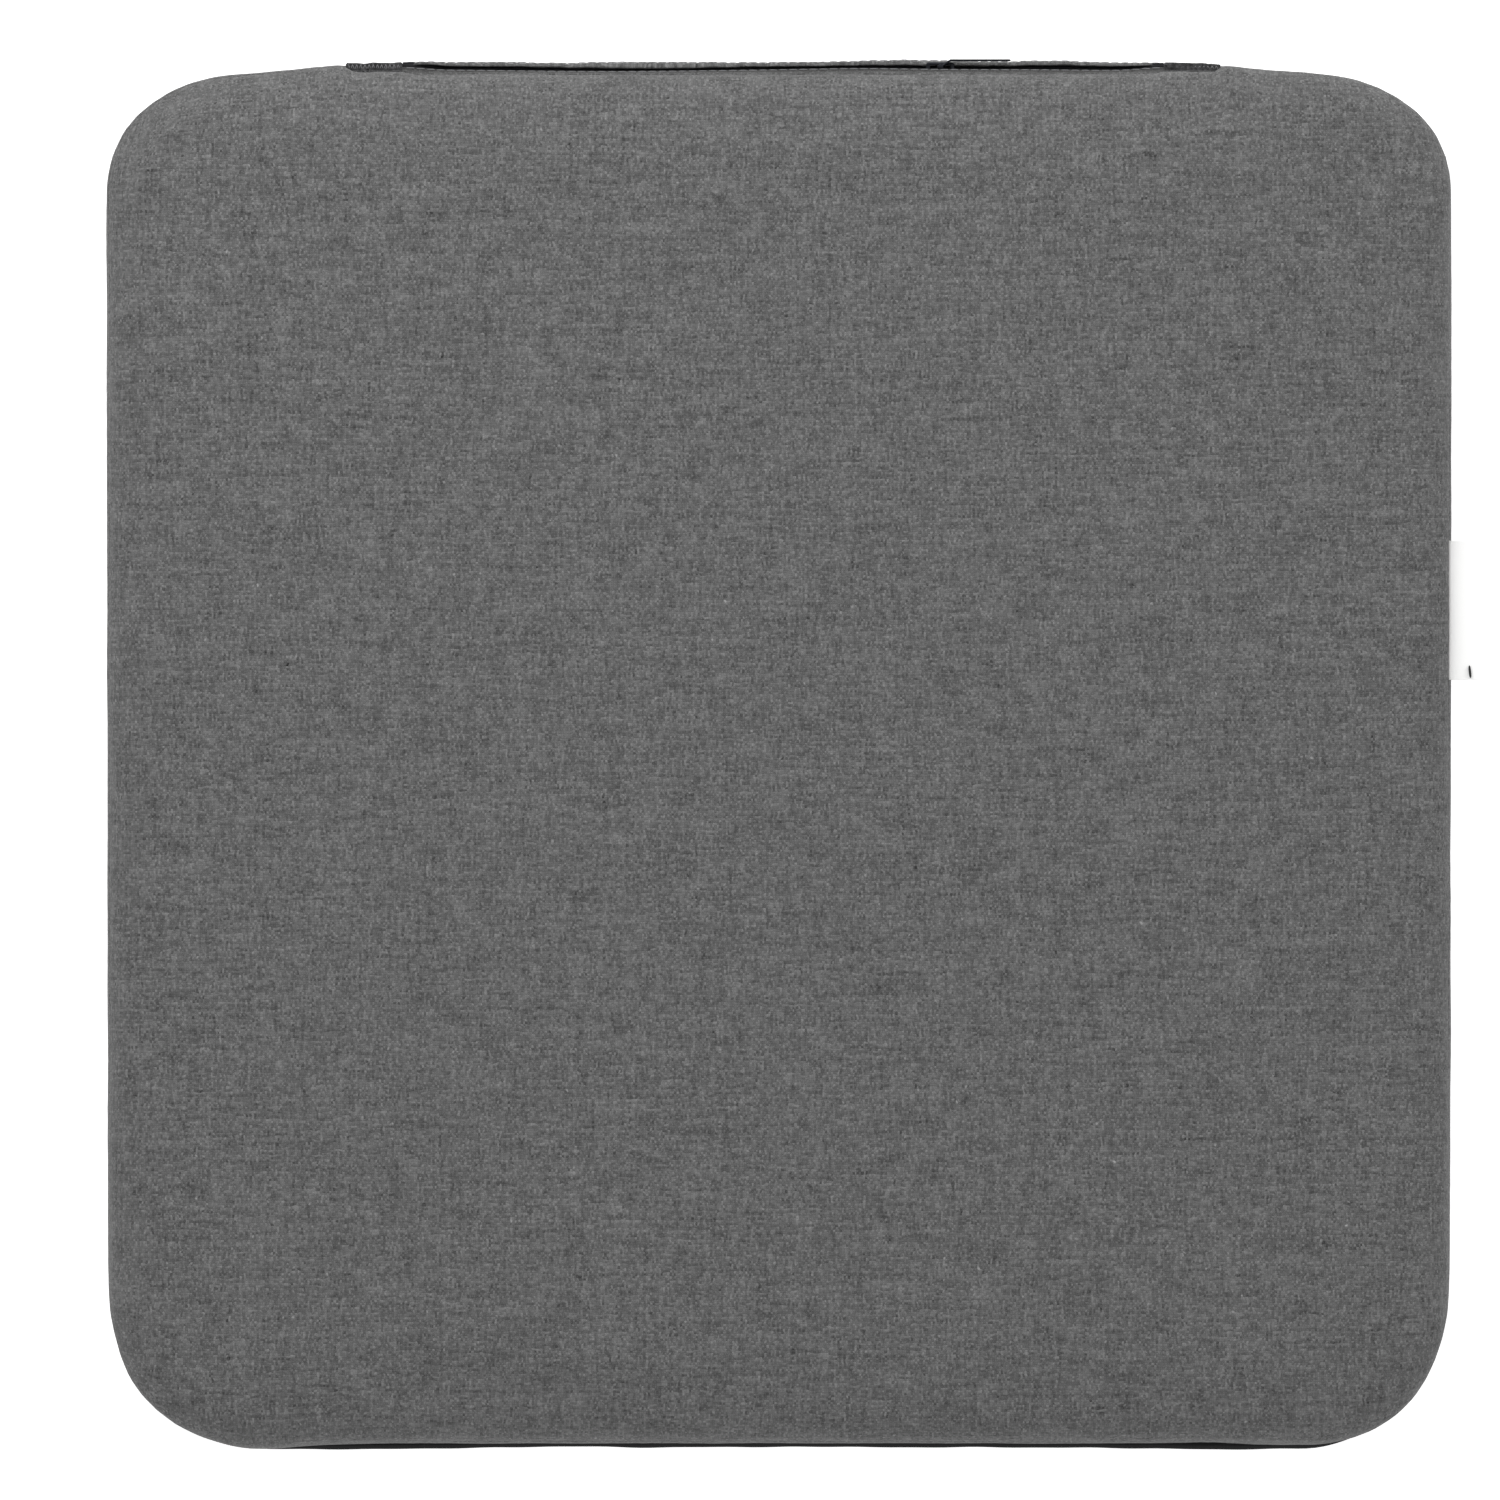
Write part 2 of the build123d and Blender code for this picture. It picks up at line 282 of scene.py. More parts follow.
def square_grid(count, run):
    """Cloth distance k from the middle and outline length s for each point of a square grid that
    is wrapped over the pad, so that the grid has no pole."""
    line = np.linspace(-1, 1, count)
    a, b = np.meshgrid(line, line)
    r = np.maximum(np.maximum(abs(a), abs(b)), 1e-9)
    side = np.select([-a >= abs(b), -b >= abs(a), a >= abs(b)], [0, 1, 2], 3)
    t = np.choose(side, [-b, a, b, -a]) / r
    s = side_breaks[side] + (t + 1) / 2 * (side_breaks[side + 1] - side_breaks[side])
    return r * run, np.mod(s, outline_length)


# ---- Cover shape --------------------------------------------------------------------------

def arc(centre, radius, start, end, count=16):
    """Points on a circle arc, angles in degrees."""
    angle = np.radians(np.linspace(start, end, count))
    return np.stack([centre[0] + radius * np.cos(angle), centre[1] + radius * np.sin(angle)], -1)


def profile(points):
    """A section through a cover panel: the distance along it, and its (inset, z) points."""
    points = np.array(points)
    keep = np.append(True, np.linalg.norm(np.diff(points, axis=0), axis=1) > 1e-7)
    points = points[keep]
    along = np.append(0, np.cumsum(np.linalg.norm(np.diff(points, axis=0), axis=1)))
    return along, points


flat_run = half_width - rim_radius
cover_profile = profile([
    (half_width, pad_top),
    *arc((rim_radius, pad_top - rim_radius), rim_radius, 90, 180),
    (0, base_seam),
])
rim_run = flat_run + rim_radius * np.pi / 2
cover_run = rim_run + rim_seam - base_seam

base_roll = 0.9 * MM
base_profile = profile([
    (half_width, base_under),
    *arc((base_rim_radius, base_under + base_rim_radius), base_rim_radius, 270, 180),
    *arc((base_roll, base_seam - base_roll * 0.8), base_roll, 180, 90, 8),
    (2 * cloth, base_seam + 0.1 * MM),
])
base_run = base_profile[0][-1]


def shell(section, k, s, facet=0.0):
    """A panel's point, outward normal and cloth place: the outline point at s, moved in by the
    section's inset at k. The flat middle blends from a plain rectangle to the rounded outline."""
    along, points = section
    inset = np.interp(k, along, points[:, 0])
    z = np.interp(k, along, points[:, 1])
    slope = np.gradient(points, along, axis=0)
    flat_end = np.max(along[points[:, 1] == points[0, 1]])
    rim = np.interp(flat_end, along, points[:, 0])
    height = abs(points[-1, 1] - points[0, 1])
    past = np.maximum(k - flat_end, 0)
    chord = np.clip(past / (rim * np.pi / 2), 0, 1)
    share = facet * (past < rim * np.pi / 2)
    inset = inset + share * (rim * (1 - chord) - inset)
    turn = np.sign(points[-1, 1] - points[0, 1])
    z = z + share * (points[0, 1] + turn * min(rim, height) * chord - z)
    edge, out = around(s)
    reach = np.minimum(k / flat_end, 1)
    plain = square_direction(s) * np.array([half_width - rim, rear - rim]) * reach[..., None]
    rounded = (edge - out * rim) * reach[..., None]
    blend = step(reach, 0.25, 1.0)[..., None]
    xy = np.where((k < flat_end)[..., None], plain + blend * (rounded - plain), edge - out * inset[..., None])
    into = -np.interp(k, along, slope[:, 0])
    down = np.interp(k, along, slope[:, 1])
    normal = np.concatenate([out * -down[..., None] * turn * -1, (into * -turn)[..., None]], -1)
    normal /= np.linalg.norm(normal, axis=-1, keepdims=True)
    place = np.where((k < flat_end)[..., None], xy, edge - out * rim + out * past[..., None])
    return np.concatenate([xy, z[..., None]], -1), normal, place


def facet_at(s):
    """How far the rim is flattened: only round the rear left corner."""
    return facet_share * hump(s, corner_middles[0], 42 * MM)


# ---- Stuffing: cloth simulation over the whole grey cover ---------------------------------

sim_count = 61


def stuffed():
    """Moves of a coarse cover under pressure from inside, one for each point of a square grid.
    The base seam and the zip are held, as the sewing holds them."""
    k, s = square_grid(sim_count, cover_run)
    points, normal, _ = shell(cover_profile, k, s)
    mesh = bpy.data.meshes.new("stuffing")
    mesh.from_pydata(points.reshape(-1, 3), [], quads(sim_count, sim_count))
    body = bpy.data.objects.new("stuffing", mesh)
    bpy.context.scene.collection.objects.link(body)
    x, y, z = np.moveaxis(points, -1, 0)
    at_zip = (y > rear - 2 * MM) & (x > zip_left - 4 * MM) & (x < zip_right + 4 * MM)
    at_base = k > cover_run - 1 * MM
    held = body.vertex_groups.new(name="sewn")
    held.add(np.flatnonzero((at_zip | at_base).ravel()).tolist(), 1.0, "REPLACE")
    cloth_sim = body.modifiers.new("cloth", "CLOTH")
    settings = cloth_sim.settings
    settings.vertex_group_mass = "sewn"
    settings.quality = 5
    settings.mass = 0.3
    settings.tension_stiffness = 40
    settings.compression_stiffness = 40
    settings.shear_stiffness = 20
    settings.bending_stiffness = 2
    settings.use_pressure = True
    settings.uniform_pressure_force = 4
    settings.effector_weights.gravity = 0
    cloth_sim.point_cache.frame_start = 1
    cloth_sim.point_cache.frame_end = 20
    scene = bpy.context.scene
    for number in range(1, 21):
        scene.frame_set(number)
    solved = body.evaluated_get(bpy.context.evaluated_depsgraph_get()).to_mesh()
    after = np.empty(sim_count * sim_count * 3, np.float32)
    solved.vertices.foreach_get("co", after)
    scene.frame_set(1)
    bpy.data.objects.remove(body)
    moved = after.reshape(points.shape) - points
    length = np.linalg.norm(moved, axis=-1, keepdims=True)
    print("stuffing moved up to", float(length.max()) / MM, "mm")
    return moved * swell_cap * np.tanh(length / swell_cap) / np.maximum(length, 1e-9)


stuffing = stuffed()


def swell(k, s):
    """The stuffing's move at a point of the cover, read between the coarse grid's points."""
    place = (square_direction(s) * (k / cover_run)[..., None] + 1) / 2 * (sim_count - 1)
    low = np.clip(place.astype(int), 0, sim_count - 2)
    part = place - low
    column, row = low[..., 0], low[..., 1]
    p, q = part[..., 0:1], part[..., 1:2]
    near = stuffing[row, column] * (1 - p) + stuffing[row, column + 1] * p
    far = stuffing[row + 1, column] * (1 - p) + stuffing[row + 1, column + 1] * p
    move = near * (1 - q) + far * q
    return move * np.array([side_swell_share, side_swell_share, 1.0])


# Faint standing creases in the kneeling face: middle (x, y), half length, direction in degrees
# from +Y, half width and height, all in mm.
creases = [
    ((3, -87), 17, 2, 2.6, 0.14),
    ((105, -114), 20, -6, 3.0, 0.16),
    ((161, -145), 42, 3, 4.0, 0.16),
    ((100, -170), 19, 78, 3.2, 0.14),
    ((-120, 60), 30, 65, 4.0, 0.10),
    ((60, 120), 36, 80, 4.5, 0.10),
    ((-60, -140), 34, 84, 4.5, 0.10),
]


def crease_height(x, y):
    """Sum of the creases: each is a narrow bump across its line that fades towards both ends."""
    total = np.zeros_like(x)
    for (cx, cy), half, direction, width, height in creases:
        angle = math.radians(direction)
        dx, dy = x - cx * MM, y - cy * MM
        along = dx * math.sin(angle) + dy * math.cos(angle)
        across = dx * math.cos(angle) - dy * math.sin(angle)
        total += height * MM * hump(along, 0, half * MM) * hump(across, 0, width * MM)
    return total


def puckers(s, seed):
    """Small gathers along a seam, uneven in height and spacing."""
    drift = slow_waves(s, 0 * s, seed, 30 * MM, 140 * MM, 6)
    return pucker_height * np.sin(2 * np.pi * s / pucker_pitch + 1.6 * drift) * (1 + 0.4 * drift)


def grey_cover(k, s):
    """The stuffed grey cover: the plain shape plus the stuffing's move, the creases, the slow
    waves, the bulges of its outline, and the turn-in and gathers at the two seams."""
    points, normal, place = shell(cover_profile, k, s, facet_at(s))
    x, y = points[..., 0], points[..., 1]
    bulge = cover_bulge(s) * step(k, rim_run - outline_bump_reach, rim_run)
    flat = step(k, cover_run, flat_run - 4 * MM)
    rise = wave_height * slow_waves(place[..., 0], place[..., 1], 3, 22 * MM, 90 * MM)
    rise = rise * (0.4 + 0.6 * flat) + crease_height(x, y) * flat
    for seam, seed in ((rim_run, 11), (cover_run, 12)):
        away = abs(k - seam)
        rise = rise - seam_dip * np.exp(-away / seam_reach)
        rise = rise + puckers(s, seed) * np.exp(-away / (3 * seam_reach))
    points = points + swell(k, s) + normal * rise[..., None]
    points[..., :2] += around(s)[1] * bulge[..., None]
    return points, normal, place


# ---- Materials ----------------------------------------------------------------------------

def add(tree, kind, settings=None, **links):
    """Adds a node. settings are its properties, and links its inputs: a socket, or a value."""
    node = tree.nodes.new("ShaderNode" + kind)
    for key, value in (settings or {}).items():
        setattr(node, key, value)
    for key, value in links.items():
        name = key.replace("_", " ")
        socket = node.inputs[int(key[1:])] if key[0] == "i" and key[1:].isdigit() else node.inputs[name]
        if isinstance(value, bpy.types.NodeSocket):
            tree.links.new(value, socket)
        else:
            socket.default_value = value
    return node


def blank(name, **values):
    """A new material with its Principled shader, whose even values are set on its own sockets."""
    material = bpy.data.materials.new(name)
    material.use_nodes = True
    tree = material.node_tree
    tree.nodes.clear()
    shader = add(tree, "BsdfPrincipled")
    for key, value in values.items():
        shader.inputs[key.replace("_", " ")].default_value = value
    add(tree, "OutputMaterial", Surface=shader.outputs[0])
    return material, tree, shader


def maths(tree, operation, first, second=0.5, third=0.5):
    """A Math node's result."""
    return add(tree, "Math", {"operation": operation}, i0=first, i1=second, i2=third).outputs[0]


def stretched(tree, where, size, turn=0.0, shift=(0, 0, 0)):
    """Coordinates in which one unit is size metres along each axis."""
    mapping = add(tree, "Mapping", {"vector_type": "TEXTURE"}, Vector=where)
    mapping.inputs["Scale"].default_value = size
    mapping.inputs["Rotation"].default_value = (0, 0, turn)
    mapping.inputs["Location"].default_value = shift
    return mapping.outputs[0]


def noise(tree, where, size, detail=2.0, roughness=0.5, turn=0.0, shift=(0, 0, 0)):
    """Noise centred on 0, whose lumps are about size metres along each axis."""
    node = add(
        tree, "TexNoise", {"noise_dimensions": "3D"},
        Vector=stretched(tree, where, size, turn, shift), Scale=1.0, Detail=detail,
    )
    node.inputs["Roughness"].default_value = roughness
    return maths(tree, "SUBTRACT", node.outputs[0], 0.5)


def bands(tree, where, period, across, distortion=0.0):
    """Sine bands of the given period in metres across X or Y, from 0 to 1."""
    unit = period * 20 / (2 * math.pi)
    node = add(
        tree, "TexWave", {"bands_direction": across, "wave_type": "BANDS"},
        Vector=stretched(tree, where, (unit, unit, unit)), Scale=1.0, Distortion=distortion,
    )
    return node.outputs[1]


def weighted(tree, base, terms):
    """base plus each term's socket times its weight."""
    total = base
    for socket, weight in terms:
        total = maths(tree, "MULTIPLY_ADD", socket, weight, total)
    return total


def shaded(tree, colour, value):
    """A colour made lighter or darker by a value around 1."""
    return add(
        tree, "Mix", {"data_type": "RGBA", "blend_type": "MULTIPLY"},
        i0=1.0, i6=linear(colour), i7=add(tree, "CombineColor", i0=value, i1=value, i2=value).outputs[0],
    ).outputs[2]


def raised(tree, shader, height, distance):
    """Bump of a height from 0 to 1, distance metres deep."""
    bump = add(tree, "Bump", Height=height, Strength=1.0, Distance=distance)
    tree.links.new(bump.outputs[0], shader.inputs["Normal"])


def heather_cloth(name="heather_polyester_linen_weave", colour="#666666", contrast=1.0):
    """Cross-dyed polyester in a plain weave: light and dark fibres are spun together, so each
    yarn changes shade along its length, and at each crossing either the upright or the level
    yarn lies on top, as a small pillow of fibres. Slubs read as fine upright and level streaks.
    The piece's own shade attribute paints highlights on folded edges and shade by the zip."""
    material, tree, shader = blank(name, Roughness=0.92, Sheen_Weight=0.08, Sheen_Roughness=0.5)
    shader.inputs["Specular IOR Level"].default_value = 0.25
    yarn, pick = 0.64 * MM, 0.72 * MM
    flat = add(tree, "UVMap", {"uv_map": "cloth"}).outputs[0]
    drift = add(
        tree, "TexNoise", Vector=stretched(tree, flat, (2.2 * MM, 2.2 * MM, 1)), Scale=1.0, Detail=1.0
    ).outputs[1]
    where = add(
        tree, "VectorMath", {"operation": "MULTIPLY_ADD"}, i0=drift, i1=(1.3 * MM, 1.3 * MM, 0), i2=flat
    ).outputs[0]
    crossing = add(
        tree, "VectorMath", {"operation": "FLOOR"}, i0=stretched(tree, where, (yarn, pick, 1))
    ).outputs[0]
    number = add(tree, "SeparateXYZ", Vector=crossing).outputs
    along = add(tree, "SeparateXYZ", Vector=where).outputs
    warp_place = add(tree, "CombineXYZ", X=number[0], Y=along[1]).outputs[0]
    weft_place = add(tree, "CombineXYZ", X=along[0], Y=number[1]).outputs[0]
    warp = noise(tree, warp_place, (0.7, 5 * MM, 1), 2.0, 0.7)
    weft = noise(tree, weft_place, (7 * MM, 0.7, 1), 2.0, 0.7, shift=(0.7, 0.2, 0))
    warp_on_top = maths(tree, "PINGPONG", maths(tree, "ADD", number[0], number[1]), 1.0)
    top = add(tree, "Mix", {"data_type": "FLOAT"}, i0=warp_on_top, i2=weft, i3=warp).outputs[0]
    speck = add(tree, "TexWhiteNoise", {"noise_dimensions": "2D"}, Vector=crossing).outputs[0]
    speck = maths(tree, "POWER", speck, 2.2)
    slub_up = noise(tree, where, (1.1 * MM, 16 * MM, 1), 2.0, 0.5, shift=(0.2, 0.6, 0))
    slub_level = noise(tree, where, (26 * MM, 1.3 * MM, 1), 2.0, 0.5, shift=(0.9, 0.3, 0))
    cloud = noise(tree, where, (9 * MM, 7 * MM, 1), 3.0, 0.5)
    fleck = noise(tree, where, (1.3 * MM, 1.6 * MM, 1), 0.0, 0.5, shift=(0.4, 0.8, 0))
    fleck = maths(tree, "MAXIMUM", maths(tree, "SUBTRACT", fleck, 0.31), 0.0)
    ribs = bands(tree, where, yarn, "X")
    levels = bands(tree, where, pick, "Y")
    pillow = maths(tree, "MULTIPLY", ribs, levels)
    fibre_up = noise(tree, where, (0.11 * MM, 1.6 * MM, 1), 1.0, 0.5)
    fibre_level = noise(tree, where, (1.6 * MM, 0.11 * MM, 1), 1.0, 0.5)
    fibre = add(
        tree, "Mix", {"data_type": "FLOAT"}, i0=warp_on_top, i2=fibre_level, i3=fibre_up
    ).outputs[0]
    # The pillow term draws each crossing's middle lighter than its edges: painted shade between the yarns.
    value = weighted(tree, 0.90 - 0.20 * contrast, [
        (speck, 0.58 * contrast), (top, 1.6 * contrast), (slub_up, 0.6), (slub_level, 0.6),
        (cloud, 0.42), (fleck, 9.0), (pillow, 0.22), (fibre, 0.9),
    ])
    # Painted light and shade from the piece's shade attribute.
    painted_light_factor = add(tree, "Attribute", {"attribute_name": "shade"}).outputs["Fac"]
    value = maths(tree, "MULTIPLY", value, maths(tree, "ADD", painted_light_factor, 1.0))
    tree.links.new(shaded(tree, colour, value), shader.inputs["Base Color"])
    raised(tree, shader, weighted(tree, 0.3, [(pillow, 0.6), (top, 0.8), (fibre, 0.5)]), 0.16 * MM)
    return material


def base_cloth(name="non_slip_polyester_knit", colour="#151516"):
    """Black brushed knit that carries the grip dots: fine level ribs and a soft nap."""
    material, tree, shader = blank(name, Roughness=0.85, Sheen_Weight=0.05)
    shader.inputs["Specular IOR Level"].default_value = 0.3
    where = add(tree, "UVMap", {"uv_map": "cloth"}).outputs[0]
    ribs = bands(tree, where, 0.9 * MM, "X", 0.8)
    courses = bands(tree, where, 1.1 * MM, "Y", 0.8)
    nap = noise(tree, where, (0.8 * MM, 0.8 * MM, 1), 3.0, 0.6)
    cloud = noise(tree, where, (14 * MM, 14 * MM, 1), 2.0, 0.5)
    value = weighted(tree, 0.9, [(ribs, 0.2), (courses, 0.1), (nap, 0.7), (cloud, 0.4)])
    tree.links.new(shaded(tree, colour, value), shader.inputs["Base Color"])
    raised(tree, shader, weighted(tree, 0.2, [(ribs, 0.4), (courses, 0.3), (nap, 0.5)]), 0.12 * MM)
    return material


def solid_grain(name, colour, size, strength, bump, **values):
    """A material whose shade and surface vary with one fine grain of the given size."""
    material, tree, shader = blank(name, **values)
    where = add(tree, "TexCoord").outputs["Object"]
    grain = noise(tree, where, (size, size, size), 3.0, 0.6)
    slow = noise(tree, where, (9 * size, 9 * size, 9 * size), 2.0, 0.5)
    value = weighted(tree, 1.0, [(grain, strength), (slow, strength * 0.6)])
    tree.links.new(shaded(tree, colour, value), shader.inputs["Base Color"])
    tree.links.new(
        weighted(tree, values.get("Roughness", 0.5), [(grain, 0.25)]), shader.inputs["Roughness"]
    )
    raised(tree, shader, weighted(tree, 0.5, [(grain, 0.8)]), bump)
    return material


def woven(name, colour, across, pitch, strength, bump, **values):
    """Ribbed woven tape: ribs of one pitch across an object axis, crossed by finer picks."""
    material, tree, shader = blank(name, **values)
    where = add(tree, "UVMap", {"uv_map": "cloth"}).outputs[0]
    ribs = bands(tree, where, pitch, across, 0.2)
    picks = bands(tree, where, pitch * 0.62, "Y" if across == "X" else "X", 0.3)
    grain = noise(tree, where, (pitch * 0.6, pitch * 0.6, 1), 2.0, 0.6)
    value = weighted(tree, 1 - strength / 2, [(ribs, strength), (picks, strength * 0.6), (grain, strength)])
    tree.links.new(shaded(tree, colour, value), shader.inputs["Base Color"])
    raised(tree, shader, weighted(tree, 0.1, [(ribs, 0.5), (picks, 0.35), (grain, 0.3)]), bump)
    return material


def foam_cells(name, colour, cell):
    """Open-cell polyurethane foam: round pores with thin bright walls; the darker pores are painted shade."""
    material, tree, shader = blank(name, Roughness=0.95)
    shader.inputs["Specular IOR Level"].default_value = 0.2
    where = add(tree, "TexCoord").outputs["Object"]
    pores = add(
        tree, "TexVoronoi", {"feature": "F1"},
        Vector=stretched(tree, where, (cell, cell, cell)), Scale=1.0,
    ).outputs["Distance"]
    slow = noise(tree, where, (20 * MM, 20 * MM, 20 * MM), 2.0, 0.5)
    value = weighted(tree, 0.75, [(pores, 0.45), (slow, 0.25)])
    tree.links.new(shaded(tree, colour, value), shader.inputs["Base Color"])
    raised(tree, shader, pores, cell * 0.5)
    return material


heather = heather_cloth()
# The tabs' cloth is a darker copy of the grey heather: painted shade for the low tabs.
tab_painted_shade_heather = heather_cloth("tab_weave_painted_shade", "#3b3b3c", 1.6)
black_knit = base_cloth()
silicone = solid_grain("silicone_grip_dots", "#1b1b1c", 0.6 * MM, 0.3, 0.02 * MM, Roughness=0.45)
tape_weave = woven(
    "woven_polyester_zip_tape", "#252528", "Y", 0.7 * MM, 0.7, 0.10 * MM, Roughness=0.8
)
nylon = solid_grain("nylon_coil_monofilament", "#16171a", 0.3 * MM, 0.3, 0.01 * MM, Roughness=0.35)
gunmetal = solid_grain(
    "gunmetal_plated_zinc", "#2b2c30", 0.25 * MM, 0.35, 0.008 * MM, Roughness=0.42, Metallic=1.0
)
thread = woven("spun_polyester_thread", "#707072", "X", 0.35 * MM, 0.8, 0.08 * MM, Roughness=0.7)
black_thread = woven("black_polyester_thread", "#121213", "X", 0.35 * MM, 0.6, 0.08 * MM, Roughness=0.7)
# The white label glows a little: painted light that keeps it near white beside the pad.
satin = woven(
    "woven_satin_label", "#fbfbfa", "Y", 0.5 * MM, 0.05, 0.03 * MM, Roughness=0.45,
    Emission_Color=(1, 1, 1, 1), Emission_Strength=0.08,
)
soft_foam = foam_cells("memory_foam", "#e3dcc3", 1.1 * MM)
firm_foam = foam_cells("firm_polyurethane_foam", "#9da3a6", 0.8 * MM)


# ---- Cover panels -------------------------------------------------------------------------

def top_cover():
    """Kneeling face and rim as one sheet of cloth: a square grid wrapped over the pad."""
    count = 181
    k, s = square_grid(count, rim_run)
    points, _, place = grey_cover(k, s)
    x, y = points[..., 0], points[..., 1]
    # Painted shade: the rim's last 5 mm beside the zip window is drawn darker, where it rolls into the zip.
    by_zip = step(np.minimum(x - window_left, window_right - x), 0, 6 * MM) * (y > 0)
    made = piece(
        "top_cover", points, quads(count, count), heather, uv=place,
        shade=rim_painted_shade * by_zip * step(k, rim_run - 5 * MM, rim_run), stands_for=["top_panel"],
    )
    thicken(made, cloth)
    return made


def side_cover():
    """Upright wall of cloth from the zip's left end round the front to its right end: outline
    length along the grid, cloth distance down it."""
    s = np.linspace(-zip_left, outline_length - zip_right, 561)
    k = rim_run + np.linspace(0, cover_run - rim_run, 17)
    k, s = np.meshgrid(k, s, indexing="ij")
    points, _, _ = grey_cover(k, s)
    made = piece(
        "side_cover", points, quads(*k.shape)[:, ::-1], heather,
        uv=np.stack([s, k], -1), stands_for=["side_band"],
    )
    thicken(made, cloth)
    return made


ridge_middle = 1.35 * MM     # how far the base stands out past the front wall's plain face
ridge_ends = 1.9 * MM
ridge_left, ridge_right = -174 * MM, 180 * MM


def front_ridge(x):
    """How far the base stands out at the front: thicker towards both ends, then fading out."""
    out = ridge_middle + (ridge_ends - ridge_middle) * step(abs(x), 70 * MM, 130 * MM)
    out = out + 0.10 * MM * slow_waves(x, 0 * x, 21, 14 * MM, 70 * MM, 8)
    return out * step(x, ridge_left, ridge_left + 22 * MM) * step(-x, -ridge_right, 26 * MM - ridge_right)


def base_cover():
    """Black base as a square grid wrapped up round the foam. The front edge stands out as a
    ridge that fades at the two front corners."""
    count = 151
    k, s = square_grid(count, base_run)
    points, _, place = shell(base_profile, k, s)
    edge, out = around(s)
    at_front = step(-out[..., 1], 0.4, 0.9)
    wall = step(k, base_run - 26 * MM, base_run - 6 * MM)
    bulge = outline_bulge(s) * (1 - at_front) + front_ridge(edge[..., 0]) * at_front
    points[..., :2] += out * (bulge * wall)[..., None]
    made = piece(
        "base_cover", points, quads(count, count)[:, ::-1], black_knit,
        uv=place, stands_for=["base_panel"],
    )
    thicken(made, cloth)
    return made


def grip_dots():
    """Rubber domes in staggered rows under the base: each is a half ellipsoid of rings."""
    pitch, radius = 9.0 * MM, 1.7 * MM
    depth = grip_high.z - grip_low.z
    rows = int((grip_high.y - grip_low.y) / (pitch * math.sqrt(0.75))) + 1
    columns = int((grip_high.x - grip_low.x) / pitch) + 1
    j, i = np.meshgrid(np.arange(rows), np.arange(columns), indexing="ij")
    x = (i - (columns - 1) / 2 + 0.5 * (j % 2) - 0.25) * pitch
    y = (j - (rows - 1) / 2) * pitch * math.sqrt(0.75)
    room_x = grip_high.x - radius - abs(x)
    room_y = grip_high.y - radius - abs(y)
    corner = 30 * MM
    in_corner = (room_x < corner) & (room_y < corner)
    off = np.hypot(corner - room_x, corner - room_y)
    keep = (room_x > 0) & (room_y > 0) & ~(in_corner & (off > corner))
    centre = np.stack([x[keep], y[keep]], -1)
    sides = 10
    angle = np.arange(sides) * 2 * np.pi / sides
    level = np.radians([0, 30, 60, 84])
    ring = radius * np.cos(level)[:, None, None] * np.stack([np.cos(angle), np.sin(angle)], -1)[None]
    drop = np.broadcast_to((-depth * np.sin(level))[:, None], ring.shape[:2])
    dome = np.concatenate([ring, drop[..., None]], -1).reshape(-1, 3)
    points = dome[None] + np.concatenate([centre, np.full((len(centre), 1), grip_high.z)], -1)[:, None]
    faces = quads(len(level), sides, closed=True)[:, ::-1]
    shift = (np.arange(len(centre)) * len(dome))[:, None, None]
    sides_faces = (faces[None] + shift).reshape(-1, 4).tolist()
    tip = np.arange(sides)[::-1] + (len(level) - 1) * sides
    root = np.arange(sides)
    caps = [(cap + n).tolist() for n in shift.ravel() for cap in (tip, root)]
    return piece(
        "grip_dots", points, sides_faces + caps, silicone,
        stands_for=["grip_coat"],
    )


# ---- Zip ----------------------------------------------------------------------------------

stations = np.linspace(window_left, window_right, 301)
lip_inner = lower_high.y - 1.4 * MM
tape_front = tape_high.y
strip_bulge = 0.55 * MM       # the upper strip's folded edge rolls out past the rear face
strip_end_bulge = 0.7 * MM    # and further beside the end tabs
strip_painted_shade = -0.84            # painted shade: the strip's cloth is drawn darker down to its fold, where it turns in to the zip
lip_painted_highlight = 0.45               # painted highlight: the lip's top edge is drawn paler
tab_set_in = {"left": 0.2 * MM, "right": 0.6 * MM}
tab_lean = {"left": 0.0, "right": 0.55 * MM}  # how much further a tab stands out beside the lip


def rounded(corners, radius, count=5):
    """A closed outline with each corner cut by a smooth curve: a quadratic between the two
    points one radius before and after the corner."""
    corners = np.array(corners, float)
    result = []
    for before, here, after in zip(np.roll(corners, 1, 0), corners, np.roll(corners, -1, 0)):
        room = min(np.linalg.norm(before - here), np.linalg.norm(after - here)) * 0.49
        cut = min(radius, room)
        first = here + (before - here) * cut / np.linalg.norm(before - here)
        last = here + (after - here) * cut / np.linalg.norm(after - here)
        t = np.linspace(0, 1, count)[:, None]
        result.append((1 - t) ** 2 * first + 2 * t * (1 - t) * here + t * t * last)
    return np.concatenate(result)


